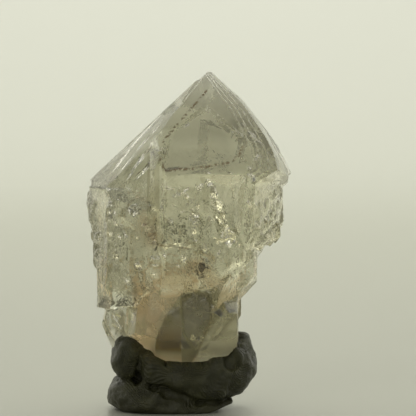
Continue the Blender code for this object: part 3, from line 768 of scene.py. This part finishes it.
def thin_sheet(number, middle, length, width, facing, along):
    """A thin, slightly bent sheet with a ragged outline."""
    seed = Vector((7.3 * number, 1.9 * number, 0))
    bpy.ops.mesh.primitive_grid_add(x_subdivisions=22, y_subdivisions=14, size=2.0)
    sheet = bpy.context.object
    bpy.ops.object.mode_set(mode="EDIT")
    select_points(sheet, lambda place: place.length + 0.7 * noise.noise(place * 2.2 + seed) > 0.86)
    bpy.ops.mesh.delete(type="VERT")
    bpy.ops.mesh.select_all(action="SELECT")
    bpy.ops.mesh.delete_loose()
    bpy.ops.object.mode_set(mode="OBJECT")
    for vertex in sheet.data.vertices:
        bend = 0.2 * noise.noise(vertex.co * 1.1 + seed) + 0.06 * noise.noise(vertex.co * 3 - seed)
        vertex.co = Vector((vertex.co.x * length / 2, vertex.co.y * width / 2, bend * width)) * MM
    apply_modifier(sheet, "SOLIDIFY", thickness=SHEET_THICKNESS, offset=0.0)
    normal = Vector(facing).normalized()
    run = Vector((along[0], 0, along[1]))
    run.y = -run.dot(normal) / normal.y
    run.normalize()
    turn = Matrix((run, normal.cross(run), normal)).transposed().to_4x4()
    sheet.data.transform(Matrix.Translation(Vector(middle) * MM) @ turn)
    return sheet


def nearest_on(thing):
    """A search tree of that object's surface."""
    bm = bmesh.new()
    bm.from_mesh(thing.data)
    tree = BVHTree.FromBMesh(bm)
    bm.free()
    return tree


def keep_inside(sheet, tree):
    """Moves in the points of a sheet that come too near the stone's surface, by uneven depths."""
    for vertex in sheet.data.vertices:
        spot, normal, _, _ = tree.find_nearest(vertex.co)
        if (vertex.co - spot).dot(normal) > -SHEET_COVER:
            vertex.co = spot - normal * SHEET_COVER * (1.0 + 0.4 * (vertex.index % 2))
    sheet.data.update()


def small_cracks(tree):
    """Small cracks a little under the etched front, turned to one light and the other by turns."""
    in_front = -20.0
    dice = random.Random(5)
    made = []
    for low, high, number in GLINT_FIELDS:
        for count in range(number):
            x, z = dice.uniform(low[0], high[0]), dice.uniform(low[1], high[1])
            spot = tree.ray_cast(Vector((x, in_front, z)) * MM, Vector((0, 1, 0)))[0]
            if spot is None:
                continue
            y = spot.y / MM + dice.uniform(0.6, 1.2)
            length = dice.uniform(0.8, 2.0)
            turn = dice.uniform(0.0, math.pi)
            facing = TO_KEY_LIGHT if count % 2 else TO_TOP_LIGHT
            facing = tuple(part + dice.uniform(-0.06, 0.06) for part in facing)
            width = length * dice.uniform(0.4, 0.7)
            made.append(((x, y, z), length, width, facing, (math.cos(turn), math.sin(turn))))
    return made


def build_sheets(name, sheets, finish, tree):
    """One piece of all these sheets, kept inside the stone."""
    made = [thin_sheet(number, *sheet) for number, sheet in enumerate(sheets)]
    for sheet in made:
        keep_inside(sheet, tree)
    deselect()
    for sheet in made:
        sheet.select_set(True)
    bpy.context.view_layer.objects.active = made[0]
    bpy.ops.object.join()
    joined = bpy.context.object
    joined.name = name
    only(joined)
    bpy.ops.object.shade_smooth_by_angle(angle=math.radians(60))
    joined.data.materials.append(finish)
    return joined


def deepen_creases(thing, rounds, share, limit):
    """Pushes the hollows of a surface farther in, by a share of what smoothing would fill."""
    before = [vertex.co.copy() for vertex in thing.data.vertices]
    normals = [vertex.normal.copy() for vertex in thing.data.vertices]
    apply_modifier(thing, "SMOOTH", factor=0.5, iterations=rounds)
    for vertex, old, normal in zip(thing.data.vertices, before, normals):
        hollow = (vertex.co - old).dot(normal)
        vertex.co = old - normal * min(limit, max(0.0, hollow) * share)
    thing.data.update()


def press(thing, middle, width, height, depth):
    """Presses an oval dent with a raised rim into the front."""
    normals = [vertex.normal.copy() for vertex in thing.data.vertices]
    for vertex, normal in zip(thing.data.vertices, normals):
        place = vertex.co / MM
        if normal.y > -0.2:
            continue
        out = Vector(((place.x - middle[0]) / width, (place.z - middle[1]) / height)).length
        sunk = (1 - smoothstep(out, 0.5, 1.0)) * depth
        rim = smoothstep(out, 0.75, 1.05) * (1 - smoothstep(out, 1.05, 1.5)) * depth * 0.4
        vertex.co += normal * (rim - sunk) * MM
    thing.data.update()


def lift_tongue(thing):
    """Curls the tongue's right end up off the floor."""
    lift = 1.5 * MM
    for vertex in thing.data.vertices:
        x, y, z = vertex.co / MM
        low = 1 - smoothstep(z, 0.0, 3.0)
        vertex.co.z += low * smoothstep(x, 2.6, 8.4) * (1 - smoothstep(y, -4.0, -1.0)) * lift
    thing.data.update()


def push_up(thing, tree):
    """Pushes what lies near the stone's surface up against it."""
    reach = 0.95 * MM
    touching = 0.03 * MM
    for vertex in thing.data.vertices:
        spot = tree.find_nearest(vertex.co, reach)[0]
        if spot is not None:
            toward = spot - vertex.co
            vertex.co += toward * max(0.0, 1 - touching / max(toward.length, 1e-9))
    thing.data.update()


def build_putty(settings, stone):
    """The putty's skin, creased, kneaded, and pushed up against the stone."""
    putty = copy_of_solid("putty_lump", "putty")
    apply_modifier(putty, "REMESH", mode="VOXEL", voxel_size=settings.skin)
    apply_modifier(putty, "SMOOTH", factor=0.5, iterations=6)
    deepen_creases(putty, rounds=80, share=5.0, limit=1.1 * MM)
    weigh(putty, "free", free)
    folds = relief_texture("folds", "CLOUDS", 3.2, noise_depth=1)
    carve(putty, "free", folds, 1.3 * MM, 0.5)
    dents = relief_texture("dents", "CLOUDS", 1.1, noise_depth=3)
    carve(putty, "free", dents, 0.4 * MM, 0.5)
    press(putty, *DENT)
    lift_tongue(putty)
    push_up(putty, nearest_on(stone))
    only(putty)
    bpy.ops.object.shade_smooth()
    putty.data.materials.append(putty_finish(settings))
    return putty


def build_floor(settings):
    """A pale floor that runs up into a backdrop."""
    bpy.ops.mesh.primitive_plane_add(size=1.0, location=(0, FLOOR_MIDDLE, 0))
    floor = bpy.context.object
    floor.name = "floor"
    only(floor)
    bpy.ops.object.mode_set(mode="EDIT")
    bpy.ops.mesh.select_all(action="SELECT")
    bpy.ops.transform.resize(value=(FLOOR_WIDTH, FLOOR_LENGTH, 1.0))
    select_points(floor, lambda place: place.y > 0)
    bpy.ops.mesh.extrude_region_move(TRANSFORM_OT_translate={"value": (0, 0, BACKDROP_HEIGHT)})
    bpy.ops.object.mode_set(mode="OBJECT")
    bpy.ops.object.transform_apply(location=True, rotation=True, scale=True)
    apply_modifier(floor, "BEVEL", width=BACKDROP_BEND, segments=16, limit_method="ANGLE")
    bpy.ops.object.shade_smooth()
    floor.data.materials.append(stage_finish(settings))


def build_lights():
    """Soft lights all round, and a faint even light from everywhere."""
    world = bpy.data.worlds.new("even_light")
    bpy.context.scene.world = world
    world.use_nodes = True
    background = world.node_tree.nodes["Background"]
    background.inputs["Color"].default_value = (0.86, 0.88, 0.78, 1.0)
    background.inputs["Strength"].default_value = 0.12
    for name, place, target, size, power in LIGHTS:
        bpy.ops.object.light_add(type="AREA", location=place)
        light = bpy.context.object
        light.name = name
        light.data.size = size
        light.data.energy = power
        light.data.color = (1.0, 0.99, 0.9)
        beam = Vector(target) - Vector(place)
        light.rotation_euler = beam.to_track_quat("-Z", "Y").to_euler()


def build_camera(settings):
    """The camera, in front and a little above, and how often light passes the glass's walls."""
    elevation = math.radians(VIEW_ELEVATION)
    look = Vector((0, math.cos(elevation), -math.sin(elevation)))
    bpy.ops.object.camera_add(
        location=Vector(VIEW_MIDDLE) * MM - look * settings.distance,
        rotation=(math.pi / 2 - elevation, 0, 0),
    )
    camera = bpy.context.object
    camera.name = "front_camera"
    camera.data.sensor_width = SENSOR_WIDTH
    camera.data.lens = SENSOR_WIDTH * settings.distance / (VIEW_WIDTH * MM)
    camera.data.clip_start = 0.01
    scene = bpy.context.scene
    scene.camera = camera
    scene.view_settings.view_transform = "Standard"
    scene.cycles.max_bounces = 24
    scene.cycles.transmission_bounces = 20
    scene.cycles.glossy_bounces = 8
    scene.cycles.transparent_max_bounces = 16


class SPECIMEN_OT_stage(bpy.types.Operator):
    """Adds the floor, the lights and the camera"""

    bl_idname = "specimen.stage"
    bl_label = "Stage"

    def execute(self, context):
        deselect()
        build_floor(context.scene.specimen_stage)
        build_lights()
        build_camera(context.scene.specimen_stage)
        return {"FINISHED"}


class SPECIMEN_OT_stone(bpy.types.Operator):
    """Builds the quartz cluster over its plain solid"""

    bl_idname = "specimen.stone"
    bl_label = "Quartz cluster"

    def execute(self, context):
        deselect()
        stone = build_stone(context.scene.specimen_stone)
        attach(stone, "root")
        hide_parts("quartz_cluster")
        return {"FINISHED"}


class SPECIMEN_OT_sheets(bpy.types.Operator):
    """Adds the cracks and the dark inclusions inside the stone"""

    bl_idname = "specimen.sheets"
    bl_label = "Cracks and inclusions"

    def execute(self, context):
        deselect()
        tree = nearest_on(bpy.data.objects["quartz_stone"])
        silver = sheet_finish("crack", (0.88, 0.87, 0.82), 0.9, 0.12, 0.9)
        bright = sheet_finish("bright_crack", (0.93, 0.92, 0.88), 1.0, 0.16, 1.0, gaps=0.1)
        even = sheet_finish(
            "window_crack", (0.93, 0.92, 0.88), 1.0, 0.2, 1.0, gaps=0.05, waves=0.06
        )
        brown = sheet_finish("inclusion", (0.1, 0.08, 0.045), 0.0, 0.6, 0.6)
        for name, sheets, finish in (
            ("quartz_cracks", CRACKS, silver),
            ("small_cracks", small_cracks(tree), bright),
            ("window_cracks", WINDOW_CRACKS, even),
            ("quartz_inclusions", INCLUSIONS, brown),
        ):
            piece = build_sheets(name, sheets, finish, tree)
            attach(piece, "root")
        return {"FINISHED"}


class SPECIMEN_OT_putty(bpy.types.Operator):
    """Builds the putty around the foot of the stone"""

    bl_idname = "specimen.putty"
    bl_label = "Putty"

    def execute(self, context):
        deselect()
        putty = build_putty(context.scene.specimen_putty, bpy.data.objects["quartz_stone"])
        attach(putty, "root")
        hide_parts("putty_lump")
        return {"FINISHED"}


class SPECIMEN_PT_panel(bpy.types.Panel):
    """Lists the steps and their settings"""

    bl_idname = "SPECIMEN_PT_panel"
    bl_label = "Quartz specimen"
    bl_space_type = "VIEW_3D"
    bl_region_type = "UI"
    bl_category = "Specimen"

    def draw(self, context):
        for operator, group, keys in (
            (SPECIMEN_OT_stage, context.scene.specimen_stage, ("backdrop", "distance")),
            (
                SPECIMEN_OT_stone,
                context.scene.specimen_stone,
                ("skin", "etching", "clear_tint", "smoke_tint", "glow_tint"),
            ),
            (SPECIMEN_OT_sheets, None, ()),
            (SPECIMEN_OT_putty, context.scene.specimen_putty, ("skin", "colour")),
        ):
            box = self.layout.box()
            box.operator(operator.bl_idname)
            for key in keys:
                box.prop(group, key)


CLASSES = (
    StoneSettings,
    PuttySettings,
    StageSettings,
    SPECIMEN_OT_stage,
    SPECIMEN_OT_stone,
    SPECIMEN_OT_sheets,
    SPECIMEN_OT_putty,
    SPECIMEN_PT_panel,
)


def register():
    for kind in CLASSES:
        bpy.utils.register_class(kind)
    bpy.types.Scene.specimen_stone = bpy.props.PointerProperty(type=StoneSettings)
    bpy.types.Scene.specimen_putty = bpy.props.PointerProperty(type=PuttySettings)
    bpy.types.Scene.specimen_stage = bpy.props.PointerProperty(type=StageSettings)


def unregister():
    del bpy.types.Scene.specimen_stage
    del bpy.types.Scene.specimen_putty
    del bpy.types.Scene.specimen_stone
    for kind in reversed(CLASSES):
        bpy.utils.unregister_class(kind)


def main():
    register()
    bpy.ops.specimen.stage()
    bpy.ops.specimen.stone()
    bpy.ops.specimen.sheets()
    bpy.ops.specimen.putty()


if __name__ == "__main__":
    main()
